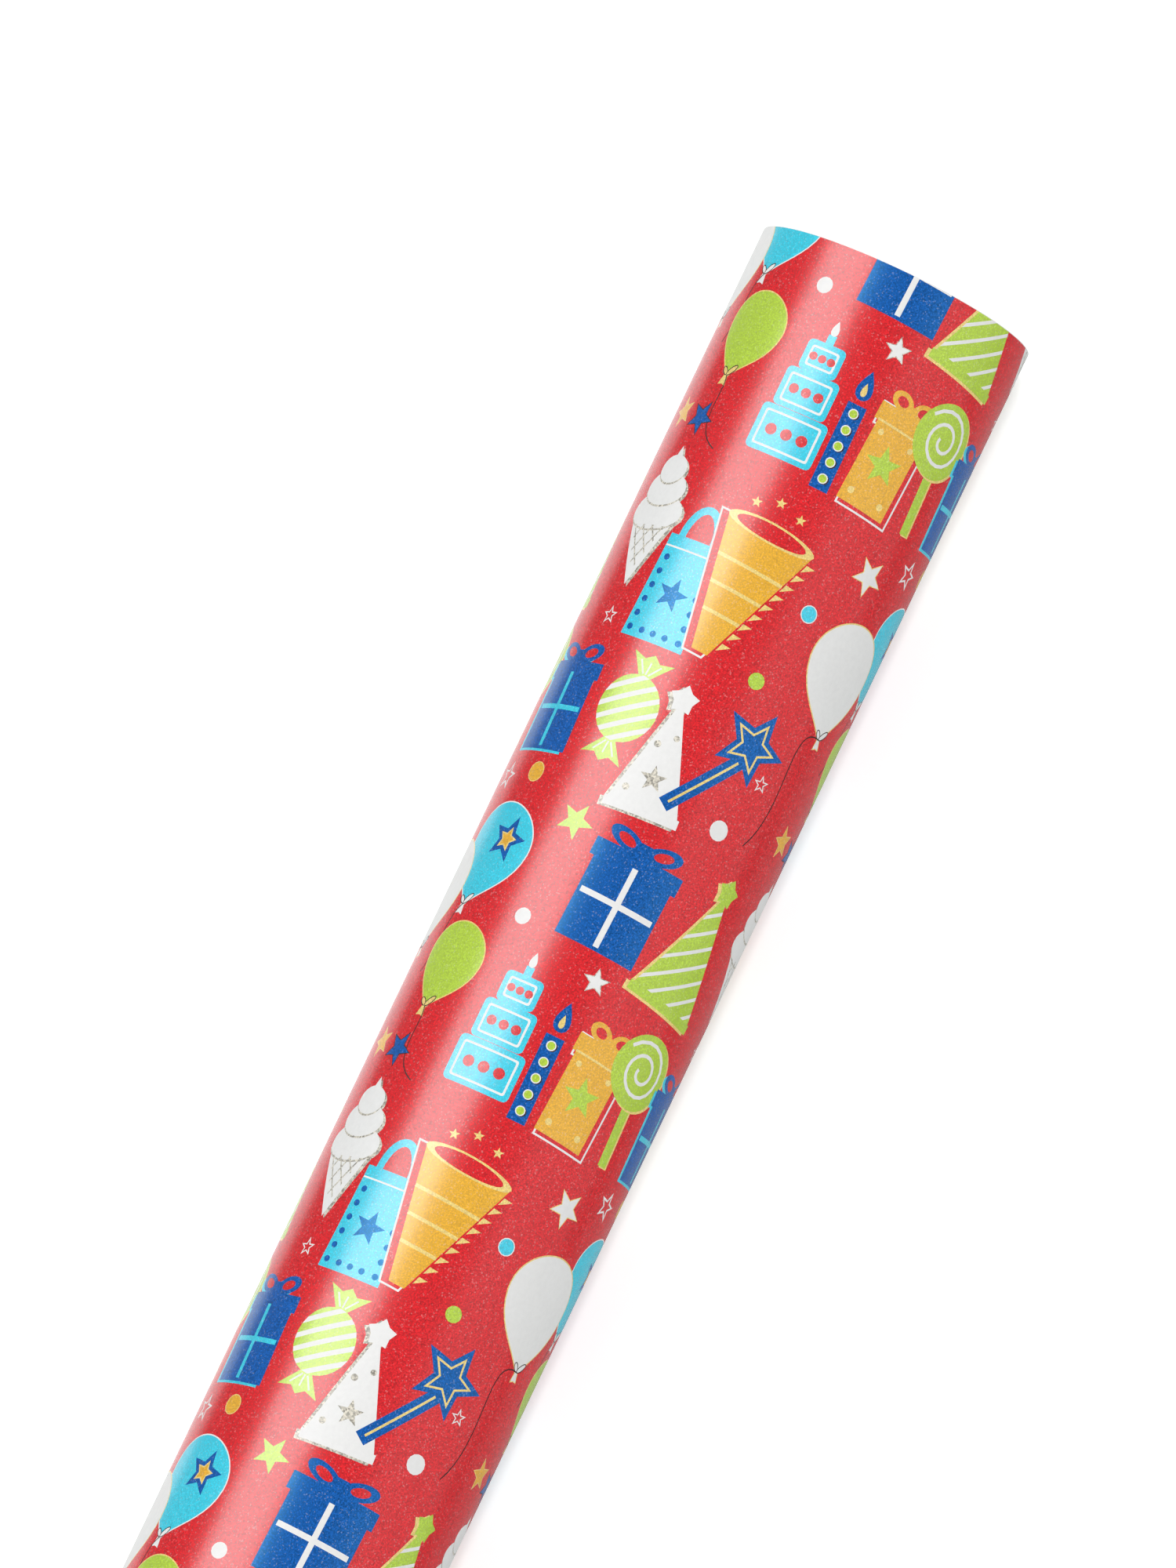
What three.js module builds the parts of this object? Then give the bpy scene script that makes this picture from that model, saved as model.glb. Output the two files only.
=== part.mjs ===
// A roll of wrapping paper lying on a table: a paperboard core of three wound plies, the sheet
// wound on it, and the sheet's free end, closed with three clear tape tabs.
// Millimetres, +Z up. The roll's axis runs along X, and the origin is on the table, under the
// middle of the roll. The free end starts where the roll meets the table and goes up the +Y side.
import * as THREE from 'three';

// Roll
const webWidth = 762;
const rollRadius = 31.75;

// Core, from the bore outwards
const boreRadius = 19.05;
const plyWall = 0.47;
const plyGap = 0.05;
const plyNames = ['core_inner_ply', 'core_middle_ply', 'core_outer_ply'];

// Glue line that holds the start of the sheet to the core
const seatGap = 0.2;
const glueWall = 0.1;
const glueFacets = 6;
const glueStart = 75;

// Outermost turn and free end
const sheetStep = 0.08;
const turnWall = 0.3;
const turnGap = 0.1;
const panelCount = 5;
const panelFacets = 4;
const hingeGap = 0.3;

// Tape tabs across the free edge
const tapeWidth = 19;
const tapeWall = 0.1;
const tapeGap = 0.05;
const tapeReach = 3;
const tapePlaces = { tail_tape_left: -300, tail_tape_middle: 0, tail_tape_right: 300 };

// Every ring has its corners on one grid of angles, with the lowest corner left out, so that
// concentric pieces keep an even gap and the roll rests on a flat as wide as two facets.
const facetAngle = 3.75;
const lowest = -90;
const axisHeight = rollRadius * Math.cos(THREE.MathUtils.degToRad(facetAngle));
const tailStart = lowest + facetAngle;
const tailEdge = tailStart + panelCount * panelFacets * facetAngle;
const turnEnd = tailStart + 360;

const colours = {
  board: { color: 0xa98a63, roughness: 0.9, metalness: 0 },
  glue: { color: 0xe6dfc8, roughness: 0.4, metalness: 0 },
  edge: { color: 0xf0eeea, roughness: 0.8, metalness: 0 },
  print: { color: 0xcf2c33, roughness: 0.4, metalness: 0 },
  tape: { color: 0xe8eef0, roughness: 0.15, metalness: 0 },
};

function cornerAngles(from, to) {
  const angles = [];
  const count = Math.round((to - from) / facetAngle);
  for (let i = 0; i <= count; i += 1) {
    const angle = from + i * facetAngle;
    const isLowest = Math.abs((angle - lowest) % 360) < 1e-6;
    if (!isLowest) angles.push(angle);
  }
  return angles;
}

function corner(radius, angle) {
  const a = THREE.MathUtils.degToRad(angle);
  return new THREE.Vector2(radius * Math.cos(a), radius * Math.sin(a));
}

// Section in the YZ plane, extruded along X and centred at the given place on the axis
function prism(name, section, length, place, look) {
  const geometry = new THREE.ExtrudeGeometry(section, { depth: length, bevelEnabled: false });
  geometry.translate(0, 0, place - length / 2);
  const alongX = new THREE.Matrix4().makeBasis(
    new THREE.Vector3(0, 1, 0),
    new THREE.Vector3(0, 0, 1),
    new THREE.Vector3(1, 0, 0),
  );
  geometry.applyMatrix4(alongX);
  const mesh = new THREE.Mesh(geometry, new THREE.MeshStandardMaterial(look));
  mesh.name = name;
  mesh.position.z = axisHeight;
  return mesh;
}

function ringSection(innerRadius, outerRadius) {
  const angles = cornerAngles(tailStart, tailStart + 360 - facetAngle);
  const section = new THREE.Shape(angles.map((angle) => corner(outerRadius, angle)));
  section.holes.push(new THREE.Path(angles.map((angle) => corner(innerRadius, angle)).reverse()));
  return section;
}

// Curved strip between two angles; its outer radius may change with the angle
function stripSection(angles, wall, outerRadiusAt) {
  const outside = angles.map((angle) => corner(outerRadiusAt(angle), angle));
  const inside = angles.map((angle) => corner(outerRadiusAt(angle) - wall, angle)).reverse();
  return new THREE.Shape([...outside, ...inside]);
}

// Corner angles between two cuts, with both ends drawn back by half the cut
function trimmedAngles(from, to, cut) {
  const angles = cornerAngles(from, to);
  const trim = THREE.MathUtils.radToDeg(cut / 2 / rollRadius);
  angles[0] += trim;
  angles[angles.length - 1] -= trim;
  return angles;
}

function corePlies() {
  return plyNames.map((name, index) => {
    const inner = boreRadius + index * (plyWall + plyGap);
    return prism(name, ringSection(inner, inner + plyWall), webWidth, 0, colours.board);
  });
}

const coreRadius = boreRadius + plyNames.length * plyWall + (plyNames.length - 1) * plyGap;

function glueLine() {
  const angles = cornerAngles(glueStart, glueStart + glueFacets * facetAngle);
  const outerRadius = coreRadius + (seatGap + glueWall) / 2;
  const section = stripSection(angles, glueWall, () => outerRadius);
  return prism('core_glue_line', section, webWidth, 0, colours.glue);
}

function woundSheet() {
  const outerRadius = rollRadius - sheetStep - turnWall - turnGap;
  const section = ringSection(coreRadius + seatGap, outerRadius);
  return prism('wound_sheet', section, webWidth, 0, colours.edge);
}

// The outermost turn climbs by one sheet from the free edge round to the flat it rests on
function outerTurn() {
  const flatStart = turnEnd - 2 * facetAngle;
  const climb = (angle) => Math.min(1, (angle - tailEdge) / (flatStart - tailEdge));
  const outerRadiusAt = (angle) => rollRadius - sheetStep * (1 - climb(angle));
  const section = stripSection(trimmedAngles(tailEdge, turnEnd, hingeGap), turnWall, outerRadiusAt);
  return prism('outer_turn', section, webWidth, 0, colours.print);
}

function tailPanels() {
  const panels = [];
  for (let i = 0; i < panelCount; i += 1) {
    const from = tailStart + i * panelFacets * facetAngle;
    const angles = trimmedAngles(from, from + panelFacets * facetAngle, hingeGap);
    const section = stripSection(angles, turnWall, () => rollRadius);
    panels.push(prism(`tail_panel_${i + 1}`, section, webWidth, 0, colours.print));
  }
  return panels;
}

function tapeTabs() {
  const reach = tapeReach * facetAngle;
  const angles = cornerAngles(tailEdge - reach, tailEdge + reach);
  const outerRadius = rollRadius + tapeGap + tapeWall;
  const section = stripSection(angles, tapeWall, () => outerRadius);
  return Object.entries(tapePlaces).map(([name, place]) => (
    prism(name, section, tapeWidth, place, colours.tape)
  ));
}

const roll = new THREE.Group();
roll.add(...corePlies(), glueLine(), woundSheet(), outerTurn(), ...tailPanels(), ...tapeTabs());

export default roll;
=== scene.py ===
"""Looks of a wrapping paper roll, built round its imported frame.

The print is real geometry. It is drawn flat, cut into triangles, and rolled up as thin films of
ink on the paper. Sizes of the roll and its print are in millimetres, those of the floor, lights
and camera in metres. Angles are in degrees round the roll's axis, from +Y through +Z, and "reach"
is a distance along the sheet from the roll's +X end.
"""
import math
import random

import bpy
import numpy as np
from mathutils import Matrix, Vector
from mathutils.geometry import delaunay_2d_cdt


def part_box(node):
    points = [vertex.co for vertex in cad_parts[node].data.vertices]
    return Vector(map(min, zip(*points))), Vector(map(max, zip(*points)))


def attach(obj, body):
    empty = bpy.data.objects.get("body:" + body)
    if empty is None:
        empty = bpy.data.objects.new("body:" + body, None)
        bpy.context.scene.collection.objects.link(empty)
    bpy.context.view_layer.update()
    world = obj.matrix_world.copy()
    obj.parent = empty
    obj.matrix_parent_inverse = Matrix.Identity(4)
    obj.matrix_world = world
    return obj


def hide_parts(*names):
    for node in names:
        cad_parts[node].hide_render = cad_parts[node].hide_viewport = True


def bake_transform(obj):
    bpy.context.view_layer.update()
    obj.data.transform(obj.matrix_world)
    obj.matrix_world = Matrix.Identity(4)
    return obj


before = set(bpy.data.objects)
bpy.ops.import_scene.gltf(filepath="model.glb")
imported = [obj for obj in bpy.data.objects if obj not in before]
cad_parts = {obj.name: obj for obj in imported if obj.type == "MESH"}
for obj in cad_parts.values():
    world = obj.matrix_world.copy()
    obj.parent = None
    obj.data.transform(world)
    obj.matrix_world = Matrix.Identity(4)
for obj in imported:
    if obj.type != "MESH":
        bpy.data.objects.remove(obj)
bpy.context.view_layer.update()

MM = 0.001

# Sizes taken from the frame
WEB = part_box("wound_sheet")[1].x * 2 / MM
BORE_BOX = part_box("core_inner_ply")[1]
AXIS_HEIGHT = (BORE_BOX.z - BORE_BOX.y) / MM

# Roll and sheet. The sheet winds outwards, and its free end starts where the roll stands.
# Strips are the sheet's facets, counted from the start of the outermost turn.
ROLL_RADIUS = 31.75
SHEET = 0.08
INK = 0.015
FACET = 3.75
FIRST = -86.25
TAIL_START = FIRST + 360
STRIP = math.radians(FACET) * ROLL_RADIUS
TURN_STRIPS = 96
PANELS = 5
PANEL_STRIPS = 4
LEAD_STRIPS = PANEL_STRIPS // 2
STRIPS = TURN_STRIPS + PANELS * PANEL_STRIPS

# Print: the art repeats every REPEAT along the roll, and moves by half of that in every next CELL
# round it. FACING is the angle of the line along the roll that faces the camera, which the art is
# placed from. BARE is unprinted at each cut end.
REPEAT = WEB / 5
HALF = REPEAT / 2
CELL_STRIPS = 37
CELL = CELL_STRIPS * STRIP
FACING = 93.9
BARE = 0.2
OFFSET_EDGE = (-0.9, -0.6)

# Inner turns: their clearances over the core and under the outermost turn, and their uneven ends
CORE_CLEARANCE = 0.12
TURN_CLEARANCE = 0.005
END_SETBACK = 0.12

# Core: plies of board, each wound in a helix, with an open joint between its edges
PLIES = ("core_inner_ply", "core_middle_ply", "core_outer_ply")
PLY_WALL = 0.47
PLY_LEAD = 97.0
PLY_JOINT = 0.7
PLY_STEPS = 96

# Tape tabs over the free edge: film between two heights above the print, with saw-cut ends. They
# step down onto the turn below over the stretch TAPE_DROP, measured from the edge.
TAPE_TOP = 0.065
TAPE_UNDERSIDE = 0.015
TAPE_STRIPS = 3
TAPE_TEETH = 16
TAPE_TOOTH = 0.5
TAPE_DROP = (0.02, 0.92)

INKS = ("red", "sky", "lime", "royal", "orange", "gold", "white", "silver", "black")


# ---------------------------------------------------------------- outlines, flat, y up

def arc(x, y, rx, ry, start, end, steps):
    turns = [math.radians(start + (end - start) * i / steps) for i in range(steps + 1)]
    return [(x + rx * math.cos(t), y + ry * math.sin(t)) for t in turns]


def ellipse(x, y, rx, ry, steps=24):
    return arc(x, y, rx, ry, 0, 360, steps)[:-1]


def dot(x, y, r):
    return ellipse(x, y, r, r, 14)


def bar(x, y, w, h):
    return [(x - w / 2, y - h / 2), (x + w / 2, y - h / 2), (x + w / 2, y + h / 2), (x - w / 2, y + h / 2)]


def soft_bar(x, y, w, h, r):
    corners = ((1, 1, 0), (-1, 1, 90), (-1, -1, 180), (1, -1, 270))
    outline = []
    for side, up, start in corners:
        outline += arc(x + side * (w / 2 - r), y + up * (h / 2 - r), r, r, start, start + 90, 3)
    return outline


def star(x, y, r, turn=0, waist=0.42):
    outline = []
    for i in range(10):
        t = math.radians(90 + turn + 36 * i)
        reach = r if i % 2 == 0 else r * waist
        outline.append((x + reach * math.cos(t), y + reach * math.sin(t)))
    return outline


def drop(x, y, w, h):
    """A flame or a drop: round below, pointed above."""
    steps = 18
    outline = []
    for i in range(steps):
        t = math.tau * i / steps
        narrow = math.sin(t / 2) ** 1.3
        outline.append((x + w / 2 * math.sin(t) * narrow, y + h / 2 * math.cos(t)))
    return outline


def teardrop(w, h):
    """A balloon's outline: full above, and drawn in to its knot below."""
    wide, low = h * 0.12, -h / 2
    side = bend((-w / 2, wide), (-w / 2, -h * 0.2), (-w * 0.14, -h * 0.36), (-0.5, low), steps=10)
    other = [(-x, y) for x, y in reversed(side)]
    return side + other + arc(0, wide, w / 2, h / 2 - wide, 0, 180, 22)[1:-1]


def stroke(line, width):
    """A strip of one width along a line of points."""
    left, right = [], []
    for i, (x, y) in enumerate(line):
        x0, y0 = line[max(i - 1, 0)]
        x1, y1 = line[min(i + 1, len(line) - 1)]
        run = math.hypot(x1 - x0, y1 - y0)
        nx, ny = -(y1 - y0) / run * width / 2, (x1 - x0) / run * width / 2
        left.append((x + nx, y + ny))
        right.append((x - nx, y - ny))
    return left + right[::-1]


def bend(*points, steps=10):
    """A smooth line through three or four control points."""
    order = len(points) - 1
    line = []
    for i in range(steps + 1):
        t = i / steps
        shares = [math.comb(order, k) * t ** k * (1 - t) ** (order - k) for k in range(order + 1)]
        line.append((
            sum(s * p[0] for s, p in zip(shares, points)),
            sum(s * p[1] for s, p in zip(shares, points)),
        ))
    return line


def area(outline):
    pairs = zip(outline, outline[1:] + outline[:1])
    return sum(a[0] * b[1] - b[0] * a[1] for a, b in pairs) / 2


def grown(outline, by):
    """The outline moved outwards by a distance, with mitred corners."""
    side = 1 if area(outline) > 0 else -1
    out = []
    for i, (x, y) in enumerate(outline):
        x0, y0 = outline[i - 1]
        x1, y1 = outline[(i + 1) % len(outline)]
        a = Vector((y - y0, x0 - x)).normalized()
        b = Vector((y1 - y, x - x1)).normalized()
        miter = (a + b) / max(1 + a.dot(b), 0.35)
        out.append((x + side * by * miter.x, y + side * by * miter.y))
    return out


def shifted(outline, dx, dy):
    return [(x + dx, y + dy) for x, y in outline]


def turned(outline, angle):
    c, s = math.cos(math.radians(angle)), math.sin(math.radians(angle))
    return [(x * c - y * s, x * s + y * c) for x, y in outline]


def clipped(outline, window):
    """The part of an outline inside a convex window."""
    if area(window) < 0:
        window = window[::-1]
    for (ax, ay), (bx, by) in zip(window, window[1:] + window[:1]):
        kept = []
        for i, (x, y) in enumerate(outline):
            x0, y0 = outline[i - 1]
            now = (bx - ax) * (y - ay) - (by - ay) * (x - ax)
            before = (bx - ax) * (y0 - ay) - (by - ay) * (x0 - ax)
            if now * before < 0:
                t = before / (before - now)
                kept.append((x0 + (x - x0) * t, y0 + (y - y0) * t))
            if now >= 0:
                kept.append((x, y))
        outline = kept
        if len(outline) < 3:
            return []
    return outline


def stripes(window, gap, width, slope):
    """Slanted white stripes across a convex shape."""
    reach = 2 * max(max(abs(x), abs(y)) for x, y in window)
    cut = []
    for i in range(-12, 13):
        y = i * gap
        line = [(-reach, y - reach * slope), (reach, y + reach * slope)]
        band = clipped(stroke(line, width), window)
        if band:
            cut.append(("white", band))
    return cut


# ---------------------------------------------------------------- motifs, each round its middle

def cake():
    """Three sky blue tiers with a white line inside each edge, red dots and a flame."""
    shapes = []
    for y, w, h in ((-9.8, 15.8, 10.8), (0.3, 12.6, 9.2), (8.5, 9, 7.2)):
        for inset, ink in ((0, "sky"), (1.2, "white"), (1.7, "sky")):
            shapes.append((ink, soft_bar(0, y, w - 2 * inset, h - 2 * inset, 1.2 - inset / 2)))
        for i in range(3):
            shapes.append(("red", dot((i - 1) * w * 0.235, y, w * 0.055 + 0.45)))
    shapes += [("sky", bar(0, 12.9, 1.9, 2.6)), ("white", drop(0, 15.8, 2.4, 3.6))]
    return shapes


def candle():
    """A royal blue candle with lime dots."""
    shapes = [("royal", bar(0, -3.6, 4.4, 20.4))]
    for i in range(5):
        y = 4.4 - i * 3.9
        shapes += [("black", dot(0.3, y - 0.1, 1.15)), ("white", dot(0, y, 1.15)), ("lime", dot(0, y, 0.9))]
    shapes += [("royal", drop(0, 11.2, 5.2, 7)), ("gold", drop(0, 10.2, 1.9, 3.2))]
    return shapes


def bow(ink, y, w):
    """Two loops and a knot, with the red ground showing through the loops."""
    shapes = []
    for side in (-1, 1):
        for size, colour in ((1, ink), (0.52, "red")):
            loop = ellipse(0, 0, w * 0.25 * size, 2.1 * size, 18)
            shapes.append((colour, shifted(turned(loop, 18 * side), side * w * 0.25, y + 1.9)))
    shapes.append((ink, soft_bar(0, y + 0.9, w * 0.2, w * 0.2, 0.5)))
    return shapes


def gift(body, band, w, h, edge=None):
    """A wrapped box with a lid and a bow."""
    y = -h * 0.13
    low, lid = bar(0, y, w, h * 0.74), bar(0, y + h * 0.37, w * 1.12, h * 0.15)
    bow_shapes = bow(body, y + h * 0.45, w * 0.95)
    shapes = []
    if edge:
        outlines = [low, lid] + [outline for ink, outline in bow_shapes if ink == body]
        shapes += [(edge, shifted(outline, *OFFSET_EDGE)) for outline in outlines]
    shapes += bow_shapes + [(body, low), (body, lid)]
    shapes += [(band, bar(0, y, w * 0.07, h * 0.68)), (band, bar(0, y + h * 0.02, w * 0.92, w * 0.07))]
    return shapes


def star_gift():
    """The orange box: a white line runs round it, and it has a lime star for a band."""
    low, lid = bar(0, -3.4, 12.4, 20), bar(0, 7.8, 14.2, 4.2)
    shapes = []
    for outline in (low, lid):
        away = shifted(outline, 0.9, -0.5)
        shapes += [("white", grown(away, 0.75)), ("red", grown(away, 0.3))]
    shapes += bow("orange", 9.9, 11.5) + [("orange", low), ("orange", lid)]
    shapes += [("gold", bar(0, 5.9, 12.4, 0.5)), ("lime", star(0, -2.6, 4.6, 12))]
    for x, y, r in ((-4, -10.6, 0.8), (4, -10.6, 0.8), (-4.2, 3.6, 0.7), (4.2, 3.4, 0.7)):
        shapes.append(("gold", dot(x, y, r)))
    return shapes


def lolly():
    """A lime lolly with a white swirl and a gold edge."""
    turns = [math.radians(20 * i) for i in range(8, 44)]
    swirl = [(0.48 * t * math.cos(t), 6.5 + 0.48 * t * math.sin(t)) for t in turns]
    stick = bar(0, -8.5, 2.6, 14)
    return [
        ("gold", shifted(stick, 0.5, -0.3)), ("lime", stick),
        ("gold", ellipse(0.5, 6.2, 8.7, 8.7, 32)), ("lime", ellipse(0, 6.5, 8.6, 8.6, 32)),
        ("white", stroke(swirl, 0.8)),
    ]


def ice_cream():
    """White whip on a white cone with silver lines."""
    cone = [(-7.4, -1), (0.5, -16.5), (7.4, -1)]
    scoops = ((0, 1.2, 8.8, 4.4), (0.2, 6.6, 6.9, 4.1), (0.3, 11.2, 4.6, 3.4))
    whip = [ellipse(*scoop) for scoop in scoops] + [drop(0.6, 14.3, 3.4, 5)]
    shapes = [("silver", shifted(outline, 0.9, -0.5)) for outline in [cone] + whip]
    shapes.append(("white", cone))
    for outline in whip[:3]:
        shapes += [("silver", shifted(outline, 0, -0.45)), ("white", outline)]
    shapes.append(("white", whip[3]))
    for slope in (-1.5, 1.5):
        for i in range(-4, 4):
            line = [(-20, i * 5 - 20 * slope), (20, i * 5 + 20 * slope)]
            cut = clipped(stroke(line, 0.4), grown(cone, -1.2))
            if cut and min(abs(y) for x, y in cut) > 2:
                shapes.append(("silver", cut))
    return shapes


def dotted_bag():
    """A sky blue carrier bag edged with royal dots."""
    bag = [(-7, 8.4), (-8, -16), (8, -16), (7, 8.4)]
    handle = arc(0, 8.2, 4.1, 7.4, 0, 180, 14)
    shapes = [("sky", stroke(handle, 1.8)), ("sky", bag), ("white", bar(0, 5.6, 14.1, 0.4))]
    for i in range(6):
        for side in (-1, 1):
            shapes.append(("royal", dot(side * (5.4 + 0.2 * i), 3 - 3.4 * i, 0.75)))
    shapes += [("royal", dot(x, -14, 0.75)) for x in (-3, 0, 3)]
    shapes.append(("royal", star(0, -4.6, 4, -8)))
    return shapes


def popper():
    """An orange party popper with a white line round it and a fringe of gold flags."""
    cone = [(-10.6, 15), (-5.2, -15.6), (-1.4, -15.9), (10.4, 13.4)]
    away = shifted(cone, -1.3, -0.3)
    shapes = [("white", grown(away, 0.8)), ("red", grown(away, 0.35)), ("orange", cone)]
    for size, ink in ((1, "gold"), (0.8, "red")):
        mouth = ellipse(0, 0, 10.7 * size, 2.3 * size, 24)
        shapes.append((ink, shifted(turned(mouth, -4.4), -0.1, 14.2)))
    for share in (0.3, 0.5, 0.7):
        left = (-10.6 + 5.4 * share, 15 - 30.6 * share)
        right = (10.4 - 11.8 * share, 13.4 - 29.3 * share)
        shapes.append(("gold", stroke([left, right], 0.8)))
    for i in range(9):
        x, y = 9.9 - 1.17 * i, 11.3 - 2.93 * i
        shapes.append(("gold", [(x, y), (x + 2.1, y - 0.2), (x - 0.75, y - 1.95)]))
    for x, y in ((-6, 19.2), (-1, 21), (4.4, 19.4)):
        shapes.append(("gold", star(x, y, 1.3, 10)))
    return shapes


def sweet():
    """A wrapped sweet standing on end, lime with white stripes."""
    body = ellipse(0, 0, 7.1, 7.9, 28)
    shapes = []
    for up in (1, -1):
        half = [(0.9, 6.9), (5.2, 12.4), (1.9, 11.5), (0, 12.9)]
        fan = [(x, y * up) for x, y in half] + [(-x, y * up) for x, y in half[-2::-1]]
        shapes.append(("lime", fan))
        shapes += [("white", stroke([(x * 0.25, 8.2 * up), (x, 11 * up)], 0.4)) for x in (-2.6, 0, 2.6)]
    return shapes + [("lime", body)] + stripes(body, 3.7, 1.15, 0.75)


def hat(ink, edge, w, h, striped):
    """A paper party hat with a pompom, striped or with silver signs on it."""
    cone = [(-w / 2, -h / 2), (w / 2, -h / 2 + 0.6), (0.6, h / 2 - 2), (-0.6, h / 2 - 2)]
    brim = bar(0, -h / 2 + 0.6, w * 1.02, 2.2)
    pompom = star(0, h / 2 - 0.4, 3.4, 0, 0.66)
    shapes = [(edge, shifted(outline, *OFFSET_EDGE)) for outline in (cone, brim, pompom)]
    shapes.append((ink, cone))
    if striped:
        shapes += stripes(cone, 4.6, 0.8, 0.75)
    else:
        shapes.append(("silver", star(0, -h * 0.2, 3.1, 6)))
        for x, y, r in ((-1.9, 2.2, 0.8), (1.6, 4.6, 0.7), (5, -8.9, 0.8), (-5, -8.9, 0.8)):
            shapes.append(("silver", dot(x, y, r)))
    return shapes + [(ink, brim), (ink, pompom)]


def wand():
    """A royal blue star wand with a gold line."""
    stick = [(-7.6, -14.6), (4.4, 4.6)]
    shapes = [("royal", stroke(stick, 3.4)), ("gold", stroke([(-6.9, -13.5), (2.6, 1.7)], 0.55))]
    for ink, r in (("royal", 9), ("gold", 6.2), ("royal", 5)):
        shapes.append((ink, star(3.6, 6.4, r, -12, 0.46)))
    return shapes


def balloon(ink, rim, tip, w, h, lean, string, mark=()):
    """A balloon with a knot, a tied bow and a string whose points are given from the knot."""
    body = shifted(teardrop(w, h), 0, h / 2)
    neck = [(-0.3, 0.3), (0.3, 0.3), (1.1, -2.2), (0.1, -2.0), (-0.9, -2.3)]
    shapes = [(rim, grown(body, 0.3)), (ink, body), (rim, grown(neck, 0.2)), (tip, neck)]
    shapes += [(shade, shifted(outline, 0, h / 2)) for shade, outline in mark]
    shapes = [(shade, turned(outline, lean)) for shade, outline in shapes]
    for reach, width, turn in ((1.2, 0.6, 134), (1.75, 0.65, 46)):
        loop = turned(ellipse(reach, 0, reach, width, 16), turn)
        line = turned(arc(reach, 0, reach, width, 190, 530, 14), turn)
        shapes += [(tip, loop), ("black", stroke(line, 0.24))]
    shapes.append(("black", stroke(bend((0.2, 0), *string, steps=16), 0.3)))
    return shapes


def ringed_star(r, turn):
    """A small star drawn as a white line."""
    return [("white", star(0, 0, r, turn)), ("red", star(0, 0, r * 0.66, turn))]


def plain(ink, outline, rim=None):
    """One solid outline, with or without a thin rim."""
    return ([(rim, grown(outline, 0.22))] if rim else []) + [(ink, outline)]


STARS = [
    ("royal", star(2.8, 4.3, 5.6, -5, 0.46)),
    ("gold", star(2.8, 4.3, 3.0, -5, 0.5)),
    ("orange", star(2.8, 4.3, 2.2, -5, 0.5)),
]

SKY_STRING = [(-4, -4), (-1, -9), (-4.4, -17)]
WHITE_STRING = [(-11, 1), (0, -17), (-7.6, -28.8)]
LIME_STRING = [(2.4, -4), (-2.6, -13), (6.4, -16.6)]

# Each motif with where its middle is: how far right of the line that faces the camera, how far
# from the +X end, and its turn. A balloon's place is its knot's.
ART = [
    (balloon("sky", "white", "white", 21.2, 24.5, -6, SKY_STRING, STARS), -33.2, 163.4, 0),
    (balloon("white", "gold", "white", 22, 26.2, 8, WHITE_STRING), 31.4, 98.2, 0),
    (balloon("lime", "gold", "gold", 17.2, 20.4, -7, LIME_STRING), -29.6, 35.1, 0),
    (cake(), -8.3, 33.4, 0),
    (star_gift(), 14.2, 37.4, -3),
    (lolly(), 26.3, 35.0, 3),
    (candle(), 3.0, 37.3, 0),
    (ice_cream(), -31.8, 69.5, 4),
    (dotted_bag(), -16.3, 80.4, 0),
    (popper(), -1.7, 78.3, 0),
    (gift("royal", "sky", 16.4, 26, "sky"), -33.3, 113.0, 3),
    (sweet(), -14.2, 111.5, -4),
    (hat("white", "silver", 17, 27, False), -2.4, 118.1, 4),
    (wand(), 10.8, 113.5, -4),
    (gift("royal", "white", 19, 28), 2.8, 148.7, -2),
    (hat("lime", "gold", 21, 30, True), 24.7, 152.1, -6),
    (plain("white", star(0, 0, 4.3, -31), "gold"), 23.2, 62.4, 0),
    (plain("white", star(0, 0, 2.8, 8), "silver"), 5.8, 16.2, 0),
    (plain("royal", star(0, 0, 4.1, -24), "black"), -31.5, 45.7, 0),
    (plain("lime", star(0, 0, 4.4, -20)), -13.7, 138.5, 0),
    (ringed_star(2.3, 6), -30.0, 93.3, 0),
    (ringed_star(3.6, -8), -41.1, 133.1, 0),
    (ringed_star(2.1, 10), 21.0, 113.5, 0),
    (plain("white", dot(0, 0, 1.9)), -15.2, 9.6, 0),
    (plain("sky", dot(0, 0, 1.8), "white"), 13.4, 76.1, 0),
    (plain("lime", dot(0, 0, 1.9)), 9.1, 94.4, 0),
    (plain("white", dot(0, 0, 2.3)), 16.3, 126.9, 0),
    (plain("orange", dot(0, 0, 2.2), "gold"), -29.6, 131.1, 0),
    (plain("orange", star(0, 0, 3.6, 18), "gold"), 37, 121.1, 0),
]


# ---------------------------------------------------------------- the print, cut into triangles

def placed(outline, right, reach, turn):
    """The outline on the sheet: how far round the winding, and how far from the +X end."""
    facing = math.radians(FACING - FIRST) * ROLL_RADIUS
    return [(facing + right + x, reach - y) for x, y in turned(outline, turn)]


def in_cell(outline):
    xs, ys = [x for x, y in outline], [y for x, y in outline]
    return max(xs) > 0 and min(xs) < CELL and max(ys) > 0 and min(ys) < REPEAT


def cell_shapes():
    """Every copy of every outline that reaches into the first cell of the print, lowest first."""
    shapes = []
    for motif, right, reach, turn in ART:
        for ink, outline in motif:
            points = placed(outline, right, reach, turn)
            for i in range(-3, 3):
                for j in range(-4, 4):
                    copy = shifted(points, i * CELL, i * HALF + j * REPEAT)
                    if in_cell(copy):
                        shapes.append((ink, copy))
    return shapes


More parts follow.
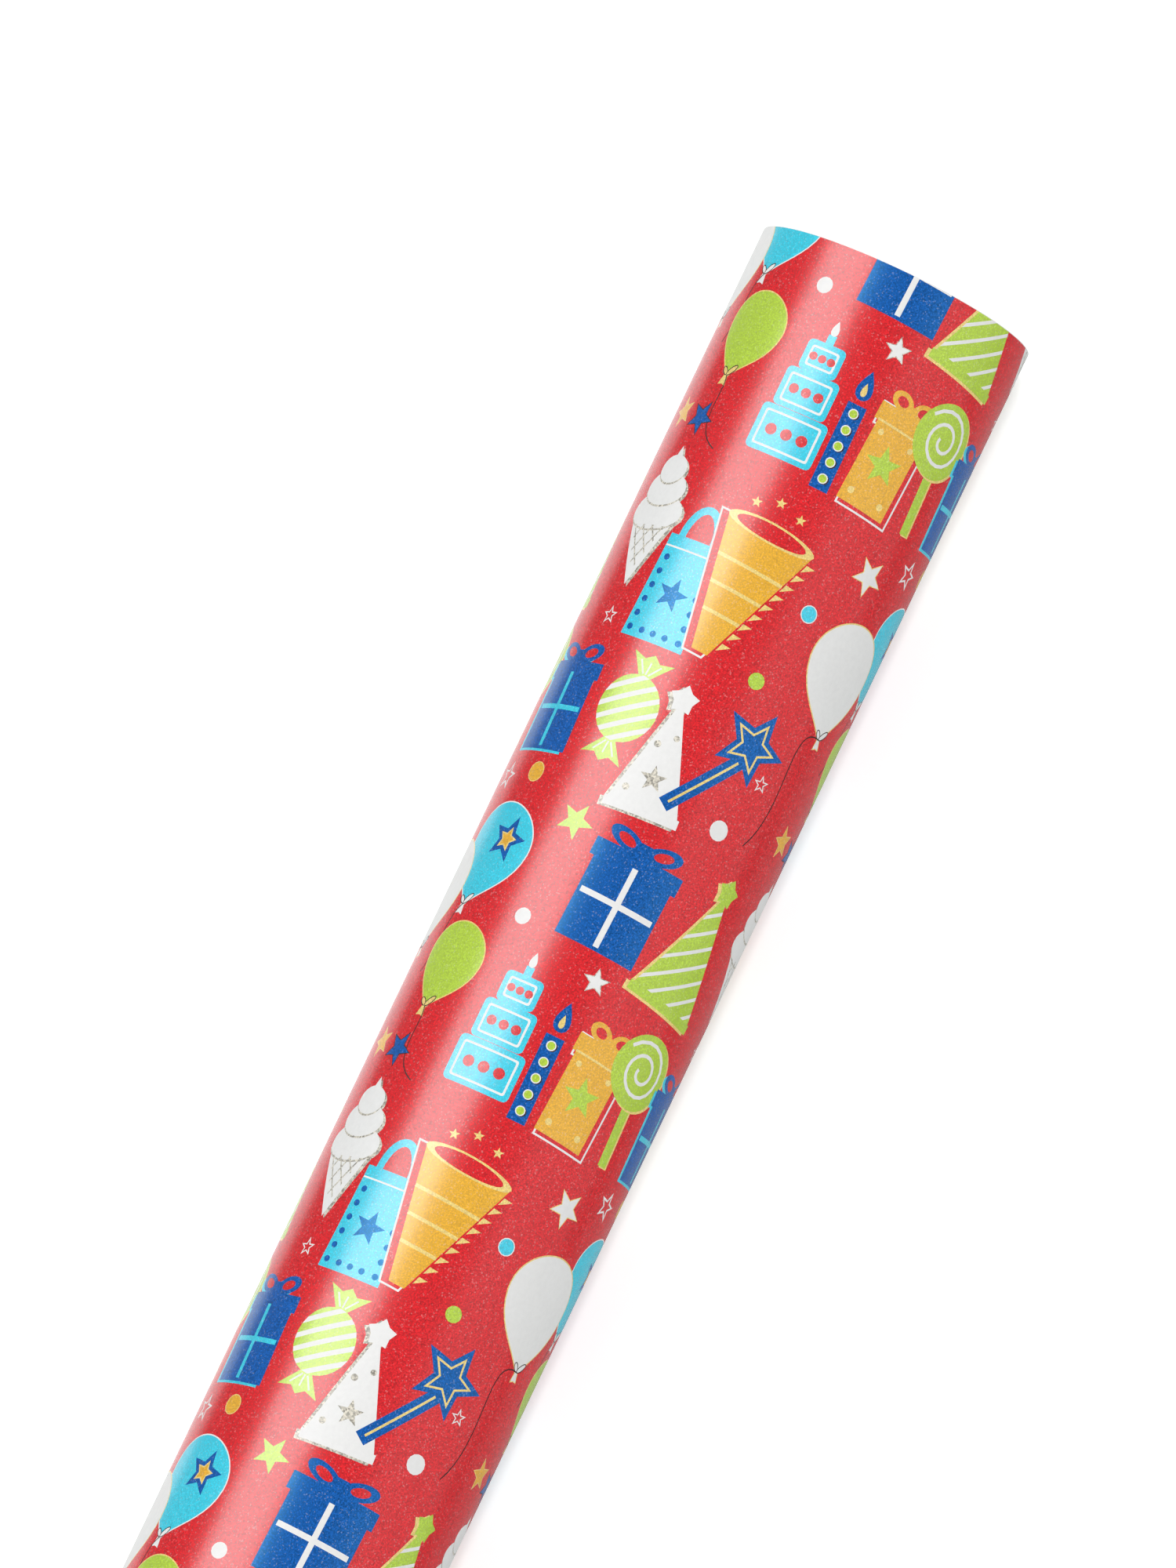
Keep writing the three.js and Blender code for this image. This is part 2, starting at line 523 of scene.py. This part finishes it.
def cut_cell():
    """The cell as triangles: their corners, and each one's corners, ink, strip and half.

    A triangle takes the ink of the topmost outline over it, which is the last one drawn.
    """
    shapes = cell_shapes()
    points, faces, edges = [], [], []
    whole = [(0, 0), (CELL, 0), (CELL, REPEAT), (0, REPEAT)]
    for outline in [whole] + [outline for ink, outline in shapes]:
        if area(outline) < 0:
            outline = outline[::-1]
        faces.append(list(range(len(points), len(points) + len(outline))))
        points += outline
    for i in range(1, CELL_STRIPS):
        edges.append((len(points), len(points) + 1))
        points += [(i * STRIP, 0), (i * STRIP, REPEAT)]
    edges.append((len(points), len(points) + 1))
    points += [(0, HALF), (CELL, HALF)]
    inks = ["red"] + [ink for ink, outline in shapes]
    corners, _, triangles, _, _, inside = delaunay_2d_cdt(
        [Vector(p) for p in points], edges, faces, 0, 1e-4, True
    )
    corners = np.array([(c.x, c.y) for c in corners])
    kept = [(t, max(into)) for t, into in zip(triangles, inside) if 0 in into]
    triangle = np.array([t for t, top in kept])
    ink = np.array([INKS.index(inks[top]) for t, top in kept])
    middle = corners[triangle].mean(axis=1)
    strip = np.clip(middle[:, 0] // STRIP, 0, CELL_STRIPS - 1).astype(int)
    return corners, triangle, ink, strip, (middle[:, 1] > HALF).astype(int)


CUT = cut_cell()


def gathered(ink, first, last):
    """Flat corners and triangles of one ink between two strips, over the whole web."""
    corners, triangle, inks, strip, half = CUT
    found = []
    for block in range(first // CELL_STRIPS, (last - 1) // CELL_STRIPS + 1):
        place = strip + block * CELL_STRIPS
        mine = (inks == ink) & (place >= first) & (place < last)
        for slot in range(round(WEB / HALF)):
            side = (slot + block) % 2
            chosen = triangle[mine & (half == side)]
            found.append(corners[chosen] + (block * CELL, (slot - side) * HALF))
    points = np.concatenate(found).reshape(-1, 2)
    rounded, back = np.unique(np.round(points, 3), axis=0, return_inverse=True)
    return rounded, back.reshape(-1, 3)


def on_roll(flat, depth):
    """Points of the flat sheet on the roll, at a depth below its printed face, in metres."""
    turn = math.radians(FIRST) + flat[:, 0] / ROLL_RADIUS
    radius = ROLL_RADIUS + SHEET * (np.degrees(turn) - TAIL_START) / 360 - depth
    y = radius * np.cos(turn)
    z = np.maximum(AXIS_HEIGHT + radius * np.sin(turn), depth)
    outwards = np.stack([np.zeros_like(y), np.cos(turn), np.sin(turn)], axis=1)
    return np.stack([WEB / 2 - flat[:, 1], y, z], axis=1) * MM, outwards


def new_object(name, points, faces, material, smooth=True):
    """A mesh object in the scene, from points in metres."""
    mesh = bpy.data.meshes.new(name)
    mesh.from_pydata([tuple(p) for p in points], [], [tuple(f) for f in faces])
    mesh.validate()
    mesh.materials.append(material)
    mesh.polygons.foreach_set("use_smooth", [smooth] * len(mesh.polygons))
    mesh.update()
    piece = bpy.data.objects.new(name, mesh)
    bpy.context.scene.collection.objects.link(piece)
    return piece


def layer(name, flat, triangles, top, bottom, material, bare=0.0):
    """A closed layer of the sheet between two depths, from flat triangles.

    It stops short of the sheet's two cut ends by the bare width.
    """
    count = len(flat)
    flat = np.stack([flat[:, 0], bare + flat[:, 1] * (1 - 2 * bare / WEB)], axis=1)
    upper, outwards = on_roll(flat, top)
    lower, _ = on_roll(flat, bottom)
    runs = np.concatenate([triangles[:, [0, 1]], triangles[:, [1, 2]], triangles[:, [2, 0]]])
    keys = runs[:, 0].astype(np.int64) * count + runs[:, 1]
    back = runs[:, 1].astype(np.int64) * count + runs[:, 0]
    rim = runs[~np.isin(keys, back)]
    walls = [(a, b, b + count, a + count) for a, b in rim.tolist()]
    faces = triangles[:, ::-1].tolist() + (triangles + count).tolist() + walls
    piece = new_object(name, np.concatenate([upper, lower]), faces, material)
    normals = np.concatenate([outwards, -outwards])
    piece.data.normals_split_custom_set_from_vertices([tuple(n) for n in normals])
    return piece


def paper_grid(first, last):
    """The bare sheet between two strips, as flat triangles in long cells."""
    columns, rows = last - first, round(WEB / HALF) * 4
    across = np.linspace(0, WEB, rows + 1)
    flat = np.array([(STRIP * (first + i), x) for i in range(columns + 1) for x in across])
    triangles = []
    for i in range(columns):
        for j in range(rows):
            a, b = i * (rows + 1) + j, (i + 1) * (rows + 1) + j
            triangles += [(a, b, b + 1), (a, b + 1, a + 1)]
    return flat, np.array(triangles)


def printed_stretch(name, first, last, paper):
    """One stretch of the printed sheet: the paper, and a film of each ink on it."""
    flat, triangles = paper_grid(first, last)
    pieces = [layer(f"{name}_paper", flat, triangles, INK, SHEET, paper)]
    for index, ink in enumerate(INKS):
        flat, triangles = gathered(index, first, last)
        if len(triangles):
            film = layer(f"{name}_print_{ink}", flat, triangles, 0, INK, ink_materials[ink], BARE)
            pieces.append(film)
    return pieces


# ---------------------------------------------------------------- materials

class Nodes:
    """A material's node tree, with short ways to add to it."""

    def __init__(self, name):
        self.material = bpy.data.materials.new(name)
        self.material.use_nodes = True
        self.tree = self.material.node_tree
        self.shader = self.tree.nodes["Principled BSDF"]
        self.place = self.tree.nodes.new("ShaderNodeTexCoord").outputs["Object"]

    def set(self, **values):
        for name, value in values.items():
            self.shader.inputs[name.replace("_", " ")].default_value = value

    def link(self, source, name):
        self.tree.links.new(source, self.shader.inputs[name])

    def node(self, kind, inputs=(), **settings):
        made = self.tree.nodes.new("ShaderNode" + kind)
        for name, value in settings.items():
            setattr(made, name, value)
        for name, value in dict(inputs).items():
            if isinstance(value, bpy.types.NodeSocket):
                self.tree.links.new(value, made.inputs[name])
            else:
                made.inputs[name].default_value = value
        return made

    def noise(self, scale, detail=2.0, roughness=0.5, place=None):
        inputs = {"Vector": place or self.place, "Scale": scale, "Detail": detail, "Roughness": roughness}
        return self.node("TexNoise", inputs).outputs["Fac"]

    def ranged(self, value, low, high, to_low, to_high):
        inputs = {"Value": value, "From Min": low, "From Max": high, "To Min": to_low, "To Max": to_high}
        return self.node("MapRange", inputs).outputs["Result"]

    def mixed(self, share, a, b):
        """Two colours mixed; the Mix node's colour sockets have to be picked by number."""
        made = self.tree.nodes.new("ShaderNodeMix")
        made.data_type = "RGBA"
        for slot, value in ((0, share), (6, a), (7, b)):
            if isinstance(value, bpy.types.NodeSocket):
                self.tree.links.new(value, made.inputs[slot])
            else:
                made.inputs[slot].default_value = value
        return made.outputs[2]

    def bump(self, height, strength, distance):
        inputs = {"Height": height, "Strength": strength, "Distance": distance}
        self.link(self.node("Bump", inputs).outputs["Normal"], "Normal")


def rgba(colour, gain=1.0):
    """A colour with its alpha, made lighter or darker by a gain."""
    return (*[min(1.0, c * gain) for c in colour], 1.0)


def pearl_ink(name, colour, grain=0.42, glint=0.5, gloss=(1, 1, 1)):
    """Pearly ink: fine grain, scattered bright flakes whose glint is painted into their colour, and an
    uneven satin finish.
    """
    made = Nodes(name)
    fine = made.noise(2700, 2.0, 0.65)
    share = made.ranged(fine, 0.33, 0.67, 0, 1)
    tone = made.mixed(share, rgba(colour, 1 - grain), rgba([c + 0.008 for c in colour], 1 + grain))
    broad = made.ranged(made.noise(45, 3), 0.35, 0.65, 0, 0.12)
    tone = made.mixed(broad, tone, rgba(colour, 0.82))
    # Flakes of pearl with a painted glint: the picked cells are lightened in the base colour, as if each
    # flake caught the light.
    cells = made.node("TexVoronoi", {"Vector": made.place, "Scale": 3600})
    pick = made.node("SeparateColor", {"Color": cells.outputs["Color"]}).outputs[0]
    flakes_and_glints = made.ranged(pick, 0.93, 0.97, 0, glint)
    made.link(made.mixed(flakes_and_glints, tone, rgba([0.25 + 0.75 * c for c in colour])), "Base Color")
    made.link(made.ranged(fine, 0.3, 0.7, 0.3, 0.22), "Roughness")
    made.set(Specular_Tint=rgba(gloss))
    made.bump(fine, 0.4, 0.00002)
    return made.material


def flat_ink(name, colour, rough):
    """Plain ink with no pearl in it: only the paper's grain shows through."""
    made = Nodes(name)
    grain = made.noise(900, 4, 0.6)
    share = made.ranged(grain, 0.3, 0.7, 0, 1)
    made.link(made.mixed(share, rgba(colour, 0.965), rgba(colour, 1.02)), "Base Color")
    made.link(made.ranged(grain, 0.3, 0.7, rough - 0.05, rough + 0.05), "Roughness")
    made.set(Specular_IOR_Level=0.3)
    made.bump(grain, 0.12, 0.00003)
    return made.material


def glitter_ink(name, colour):
    """Silver glitter: every flake has its own brightness in the colour, painted glints and painted shade as
    if each flake caught the light at its own angle.
    """
    made = Nodes(name)
    cells = made.node("TexVoronoi", {"Vector": made.place, "Scale": 2600})
    pick = made.node("SeparateColor", {"Color": cells.outputs["Color"]})
    # Painted glints and shade: each flake's base colour runs from darker to lighter than the silver,
    # standing in for how it catches the light.
    made.link(made.mixed(pick.outputs[0], rgba(colour, 0.45), rgba(colour, 1.6)), "Base Color")
    made.link(made.ranged(pick.outputs[1], 0, 1, 0.2, 0.5), "Roughness")
    made.bump(pick.outputs[2], 0.4, 0.00002)
    return made.material


def paper_material(name, colour):
    """Bare paper with short fibres and a little cloudiness."""
    made = Nodes(name)
    stretch = made.node("Mapping", {"Vector": made.place, "Scale": (260, 1100, 1100)})
    fibres = made.noise(1, 4, 0.65, stretch.outputs["Vector"])
    clouds = made.noise(60, 3)
    tone = made.mixed(made.ranged(fibres, 0.3, 0.7, 0, 1), rgba(colour, 0.94), rgba(colour, 1.03))
    tone = made.mixed(made.ranged(clouds, 0.3, 0.7, 0, 0.25), tone, rgba(colour, 0.93))
    made.link(tone, "Base Color")
    made.link(made.ranged(fibres, 0.3, 0.7, 0.68, 0.85), "Roughness")
    made.bump(fibres, 0.2, 0.00004)
    return made.material


def edge_material():
    """The cut edges of the turns: white paper with a thin red line of ink at every turn."""
    made = Nodes("turn_edges")
    parts = made.node("SeparateXYZ", {"Vector": made.place})
    up = made.node("Math", {0: parts.outputs["Z"], 1: AXIS_HEIGHT * MM}, operation="SUBTRACT").outputs[0]
    flat = made.node("CombineXYZ", {"X": parts.outputs["Y"], "Y": up})
    radius = made.node("VectorMath", {0: flat.outputs["Vector"]}, operation="LENGTH").outputs["Value"]
    ring = made.node("CombineXYZ", {"X": radius})
    turns = made.noise(9000, 1.5, 0.6, ring.outputs["Vector"])
    bands = made.noise(1500, 2, 0.5, ring.outputs["Vector"])
    fibres = made.noise(2600, 3, 0.6)
    tone = made.mixed(made.ranged(turns, 0.35, 0.65, 0, 1), (0.7, 0.54, 0.52, 1), (0.93, 0.92, 0.9, 1))
    tone = made.mixed(made.ranged(bands, 0.35, 0.65, 0, 0.35), tone, (0.82, 0.72, 0.7, 1))
    tone = made.mixed(made.ranged(fibres, 0.35, 0.65, 0, 0.3), tone, (0.88, 0.86, 0.84, 1))
    made.link(tone, "Base Color")
    made.link(made.ranged(fibres, 0.3, 0.7, 0.75, 0.9), "Roughness")
    made.bump(turns, 0.5, 0.00006)
    return made.material


def board_material():
    """Grey-brown core board: long fibres, specks and a rough face."""
    made = Nodes("core_board")
    stretch = made.node("Mapping", {"Vector": made.place, "Scale": (180, 1400, 1400)})
    fibres = made.noise(1, 5, 0.7, stretch.outputs["Vector"])
    clouds = made.noise(90, 3)
    specks = made.noise(1500, 1, 0.5)
    tone = made.mixed(made.ranged(fibres, 0.3, 0.7, 0, 1), (0.27, 0.19, 0.115, 1), (0.47, 0.35, 0.225, 1))
    tone = made.mixed(made.ranged(clouds, 0.35, 0.7, 0, 0.5), tone, (0.4, 0.3, 0.2, 1))
    tone = made.mixed(made.ranged(specks, 0.66, 0.74, 0, 0.6), tone, (0.12, 0.085, 0.06, 1))
    made.link(tone, "Base Color")
    made.link(made.ranged(fibres, 0.3, 0.7, 0.8, 0.95), "Roughness")
    made.bump(fibres, 0.5, 0.00008)
    return made.material


def tape_material():
    """Clear film with faint scuffs, see-through enough for the print to show."""
    made = Nodes("clear_tape")
    scuffs = made.noise(700, 4, 0.7)
    made.set(Base_Color=(0.93, 0.95, 0.96, 1), Alpha=0.14, IOR=1.49)
    made.link(made.ranged(scuffs, 0.35, 0.7, 0.07, 0.24), "Roughness")
    made.bump(scuffs, 0.1, 0.00002)
    return made.material


def glue_material():
    """Dried glue: cream, a little cloudy."""
    made = Nodes("dried_glue")
    clouds = made.noise(400, 3)
    share = made.ranged(clouds, 0.3, 0.7, 0, 1)
    made.link(made.mixed(share, (0.7, 0.64, 0.48, 1), (0.86, 0.82, 0.7, 1)), "Base Color")
    made.link(made.ranged(clouds, 0.3, 0.7, 0.25, 0.5), "Roughness")
    made.bump(clouds, 0.2, 0.00005)
    return made.material


ink_materials = {
    "red": pearl_ink("ink_red", (0.68, 0.005, 0.012), gloss=(0.55, 1, 1)),
    "sky": pearl_ink("ink_sky", (0.035, 0.6, 0.77), 0.25, gloss=(1, 0.75, 0.8)),
    "lime": pearl_ink("ink_lime", (0.44, 0.63, 0.05), 0.26),
    "royal": pearl_ink("ink_royal", (0.002, 0.09, 0.39), 0.5, 0.45, (0.3, 0.9, 1)),
    "orange": pearl_ink("ink_orange", (0.8, 0.42, 0.03), 0.26),
    "gold": pearl_ink("ink_gold", (0.86, 0.62, 0.2), 0.26),
    "white": flat_ink("ink_white", (0.79, 0.79, 0.78), 0.55),
    "silver": glitter_ink("ink_silver", (0.5, 0.47, 0.4)),
    "black": flat_ink("ink_black", (0.03, 0.012, 0.012), 0.5),
}


# ---------------------------------------------------------------- the roll

def outer_turn(paper):
    """The outermost turn, up to just before the free end bends away from the roll."""
    pieces = printed_stretch("turn", 0, TURN_STRIPS - LEAD_STRIPS, paper)
    for piece in pieces:
        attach(piece, "roll")
    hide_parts("outer_turn")


def free_end(paper):
    """The free end: one stretch across each hinge, from two strips before it to two after it, to the
    sheet's end for the last, attached to no body.
    """
    for index in range(PANELS):
        hinge = TURN_STRIPS + index * PANEL_STRIPS
        first, last = hinge - LEAD_STRIPS, hinge + LEAD_STRIPS
        if index == PANELS - 1:
            last = STRIPS
        pieces = printed_stretch(f"tail_{index + 1}", first, last, paper)
        for piece in pieces:
            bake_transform(piece)
        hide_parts(f"tail_panel_{index + 1}")


def ring_turns():
    """The angles of the roll's corners, with none at the very bottom."""
    return [math.radians(FIRST + FACET * i) for i in range(TURN_STRIPS - 1)]


def ring_point(x, radius, turn):
    """A point round the roll's axis, in metres, from millimetres and radians."""
    return x * MM, radius * MM * math.cos(turn), (AXIS_HEIGHT + radius * math.sin(turn)) * MM


def lathe(name, profile, turns, material):
    """A closed ring: the profile's (x, radius) points carried round the axis."""
    points, faces = [], []
    for t in turns:
        points += [ring_point(x, r, t) for x, r in profile]
    count, around = len(profile), len(turns)
    for i in range(around):
        for j in range(count):
            a, b = i * count, (i + 1) % around * count
            k = (j + 1) % count
            faces.append((a + j, a + k, b + k, b + j))
    piece = new_object(name, points, faces, material)
    piece.data.set_sharp_from_angle(angle=math.radians(30))
    return piece


def wound_turns():
    """The inner turns, each with its own edge.

    Each end wanders slowly in and out from turn to turn, and each turn is a little off that too.
    """
    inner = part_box("core_outer_ply")[1].y / MM + CORE_CLEARANCE
    outer = ROLL_RADIUS - 2 * SHEET - TURN_CLEARANCE
    count = round((outer - inner) / SHEET)
    step = (outer - inner) / count
    scatter = random.Random(7)
    drift, ends = 0.0, []
    for side in (1, -1):
        rings = []
        for i in range(count):
            drift = 0.8 * drift + scatter.uniform(-0.07, 0.07)
            x = side * (WEB / 2 - END_SETBACK + drift * 0.7 + scatter.uniform(-0.03, 0.03))
            rings += [(x, inner + i * step), (x, inner + (i + 1) * step)]
        ends.append(rings)
    profile = ends[0] + ends[1][::-1]
    piece = lathe("wound_turns", profile, ring_turns(), edge_material())
    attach(piece, "roll")
    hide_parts("wound_sheet")


def core_ply(index, name, board):
    """One ply: a strip of board wound in a helix, with an open butt joint between its edges."""
    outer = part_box(name)[1].y / MM
    inner = outer - PLY_WALL
    phase = index / len(PLIES)
    half = WEB / 2
    points = []
    for i in range(-PLY_STEPS, round((WEB / PLY_LEAD + 1) * PLY_STEPS) + 1):
        low = (i / PLY_STEPS + phase - 1) * PLY_LEAD - half
        a, b = max(low, -half), min(low + PLY_LEAD - PLY_JOINT, half)
        if b - a >= 0.05:
            turn = math.tau * i / PLY_STEPS
            section = ((a, inner), (b, inner), (b, outer), (a, outer))
            points += [ring_point(x, r, turn) for x, r in section]
    faces = []
    last = len(points) // 4 - 1
    for i in range(last):
        for j in range(4):
            a, b = i * 4, i * 4 + 4
            k = (j + 1) % 4
            faces.append((a + j, b + j, b + k, a + k))
    faces += [(0, 1, 2, 3), tuple(last * 4 + j for j in (3, 2, 1, 0))]
    piece = new_object(f"{name}_strip", points, faces, board)
    piece.data.set_sharp_from_angle(angle=math.radians(30))
    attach(piece, "roll")
    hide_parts(name)


def tape_points(name, rows, level):
    """One face of a tab: rows of points across it, which drop past the sheet's free edge."""
    low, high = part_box(name)
    reach = WEB / 2 - high.x / MM
    step = (high.x - low.x) / MM / TAPE_TEETH / 2
    notches = {rows[0]: TAPE_TOOTH, rows[-1]: -TAPE_TOOTH}
    drop_start, drop_end = TAPE_DROP
    points = []
    for row in rows:
        share = min(1, max(0, (row - drop_start) / (drop_end - drop_start)))
        notch = notches.get(row, 0)
        flat = np.array([
            (STRIPS * STRIP + row + notch * (i % 2), reach + i * step)
            for i in range(2 * TAPE_TEETH + 1)
        ])
        place, _ = on_roll(flat, SHEET * share - level)
        points += [tuple(p) for p in place]
    return points


def grid_rim(rows, columns):
    """The outer points of a grid, in order round it."""
    rim = list(range(columns))
    rim += [i * columns + columns - 1 for i in range(1, rows)]
    rim += [(rows - 1) * columns + j for j in range(columns - 2, -1, -1)]
    return rim + [i * columns for i in range(rows - 2, 0, -1)]


def tape_tab(name, film):
    """A tab of clear tape over the free edge, with saw-cut ends."""
    span = TAPE_STRIPS * STRIP
    rows = [-span, -span + 1.5, -3, -1.2, -0.35, 0.02, 0.3, 0.9, 2, 4, span - 1.5, span]
    points = tape_points(name, rows, TAPE_TOP) + tape_points(name, rows, TAPE_UNDERSIDE)
    across, count = 2 * TAPE_TEETH + 1, len(points) // 2
    faces = []
    for i in range(len(rows) - 1):
        for j in range(across - 1):
            a, b = i * across + j, (i + 1) * across + j
            faces.append((a, a + 1, b + 1, b))
            faces.append((a + count, b + count, b + 1 + count, a + 1 + count))
    rim = grid_rim(len(rows), across)
    for a, b in zip(rim, rim[1:] + rim[:1]):
        faces.append((a, a + count, b + count, b))
    piece = new_object(f"{name}_film", points, faces, film)
    piece.data.set_sharp_from_angle(angle=math.radians(40))
    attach(piece, f"tail_{PANELS}")
    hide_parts(name)


def glue_line():
    """The glue line keeps the frame's own mesh and only gets a better material."""
    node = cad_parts["core_glue_line"]
    node.data.materials.clear()
    node.data.materials.append(glue_material())


# ---------------------------------------------------------------- floor, light and camera

def sheet_of_floor(name, height, material):
    """A level square far wider than the view."""
    half = 15.0
    corners = [(-half, -half, height), (half, -half, height), (half, half, height), (-half, half, height)]
    piece = new_object(name, corners, [(0, 1, 2, 3)], material, smooth=False)
    return piece


def floor():
    """A white floor, and a film of glow on it that only the camera sees, which burns it out."""
    white = Nodes("floor_white")
    white.set(Base_Color=(0.89, 0.93, 0.93, 1), Roughness=0.9, Specular_IOR_Level=0)
    ground = sheet_of_floor("floor", -0.00004, white.material)
    ground.visible_glossy = False
    glow = Nodes("floor_glow")
    emission = glow.node("Emission", {"Color": (1, 1, 1, 1), "Strength": 0.355})
    clear = glow.node("BsdfTransparent")
    both = glow.node("AddShader", {0: emission.outputs[0], 1: clear.outputs[0]})
    glow.tree.links.new(both.outputs[0], glow.tree.nodes["Material Output"].inputs["Surface"])
    veil = sheet_of_floor("floor_glow", -0.00002, glow.material)
    veil.visible_diffuse = False
    veil.visible_glossy = False
    veil.visible_transmission = False
    veil.visible_shadow = False


def placement(centre, right, up, back):
    """The matrix of something that stands at a point and looks away from its back."""
    return Matrix.Translation(centre) @ Matrix((right, up, back)).transposed().to_4x4()


def panel_light(name, centre, size, strength, back):
    """A flat softbox along the roll that shows only in the gloss, with its back to a direction."""
    light = bpy.data.lights.new(name, "AREA")
    light.shape = "RECTANGLE"
    light.size, light.size_y = size
    light.energy = strength * size[0] * size[1] * math.pi
    lamp = bpy.data.objects.new(name, light)
    along = Vector((1, 0, 0))
    across = Vector(back).cross(along)
    lamp.matrix_world = placement(centre, along, across, Vector(back))
    lamp.visible_diffuse = False
    lamp.visible_camera = False
    bpy.context.scene.collection.objects.link(lamp)


def side_panel(name, low, high, strength):
    """A softbox beside the roll, filling the angles from low to high round the roll's axis."""
    length, distance = 6.0, 2.0
    middle, half = math.radians((low + high) / 2), math.radians((high - low) / 2)
    back = (0, math.cos(middle), math.sin(middle))
    centre = Vector(back) * distance + Vector((0, 0, AXIS_HEIGHT * MM))
    panel_light(name, centre, (length, 2 * distance * math.tan(half)), strength, back)


def low_card(name, near, far, strength):
    """A card lying beside the roll that shows only in the gloss, from one Y to another."""
    middle = (near + far) / 2
    panel_light(name, (0, middle, -0.00001), (1.2, far - near), strength, (0, 0, -1))


def sun(name, strength, width, tilt):
    """A far light that shows only in the shading. Its tilt is from straight above, towards +Y."""
    light = bpy.data.lights.new(name, "SUN")
    light.energy = strength * math.pi
    light.angle = math.radians(width)
    lamp = bpy.data.objects.new(name, light)
    lamp.rotation_euler = (math.radians(-tilt), 0, 0)
    lamp.visible_glossy = False
    bpy.context.scene.collection.objects.link(lamp)


def lights():
    """Panels and cards for the gloss, and broad suns for the shading, over a dim white world."""
    world = bpy.data.worlds.new("studio")
    world.use_nodes = True
    world.node_tree.nodes["Background"].inputs["Color"].default_value = (1, 1, 1, 1)
    world.node_tree.nodes["Background"].inputs["Strength"].default_value = 0.22
    bpy.context.scene.world = world
    side_panel("key_strip", 26.7, 70.2, 7.1)
    side_panel("fill_panel", 124.7, 189.7, 0.75)
    low_card("left_card", 0.036, 0.088, 1.1)
    low_card("right_card", -0.12, -0.036, 0.2)
    sun("overhead", 0.25, 4.6, -0.8)
    sun("ceiling", 0.15, 140, 0)
    sun("left_softbox", 0.39, 50, 40)
    sun("right_softbox", 0.23, 50, -45)


def camera():
    """A long lens nearly overhead, aimed below and left of the middle of the +X end."""
    elevation, azimuth = math.radians(80.96), math.radians(-64.7)
    distance, aim_left, aim_below = 7.546, 0.0667, 0.1065
    back = Vector((
        math.sin(azimuth) * math.cos(elevation),
        -math.cos(azimuth) * math.cos(elevation),
        math.sin(elevation),
    ))
    right = Vector((0, 0, 1)).cross(back).normalized()
    up = back.cross(right)
    end = Vector((WEB / 2 * MM, 0, AXIS_HEIGHT * MM))
    aim = end - right * aim_left - up * aim_below
    data = bpy.data.cameras.new("camera")
    data.lens, data.sensor_width = 800, 36
    data.clip_start, data.clip_end = 0.1, 100
    view = bpy.data.objects.new("camera", data)
    view.matrix_world = placement(aim + back * distance, right, up, back)
    bpy.context.scene.collection.objects.link(view)
    bpy.context.scene.camera = view


paper = paper_material("paper_back", (0.86, 0.86, 0.85))
outer_turn(paper)
free_end(paper)
wound_turns()
board = board_material()
for ply, ply_name in enumerate(PLIES):
    core_ply(ply, ply_name, board)
glue_line()
film = tape_material()
for tab in ("tail_tape_left", "tail_tape_middle", "tail_tape_right"):
    tape_tab(tab, film)
floor()
lights()
camera()
bpy.context.scene.view_settings.view_transform = "Standard"
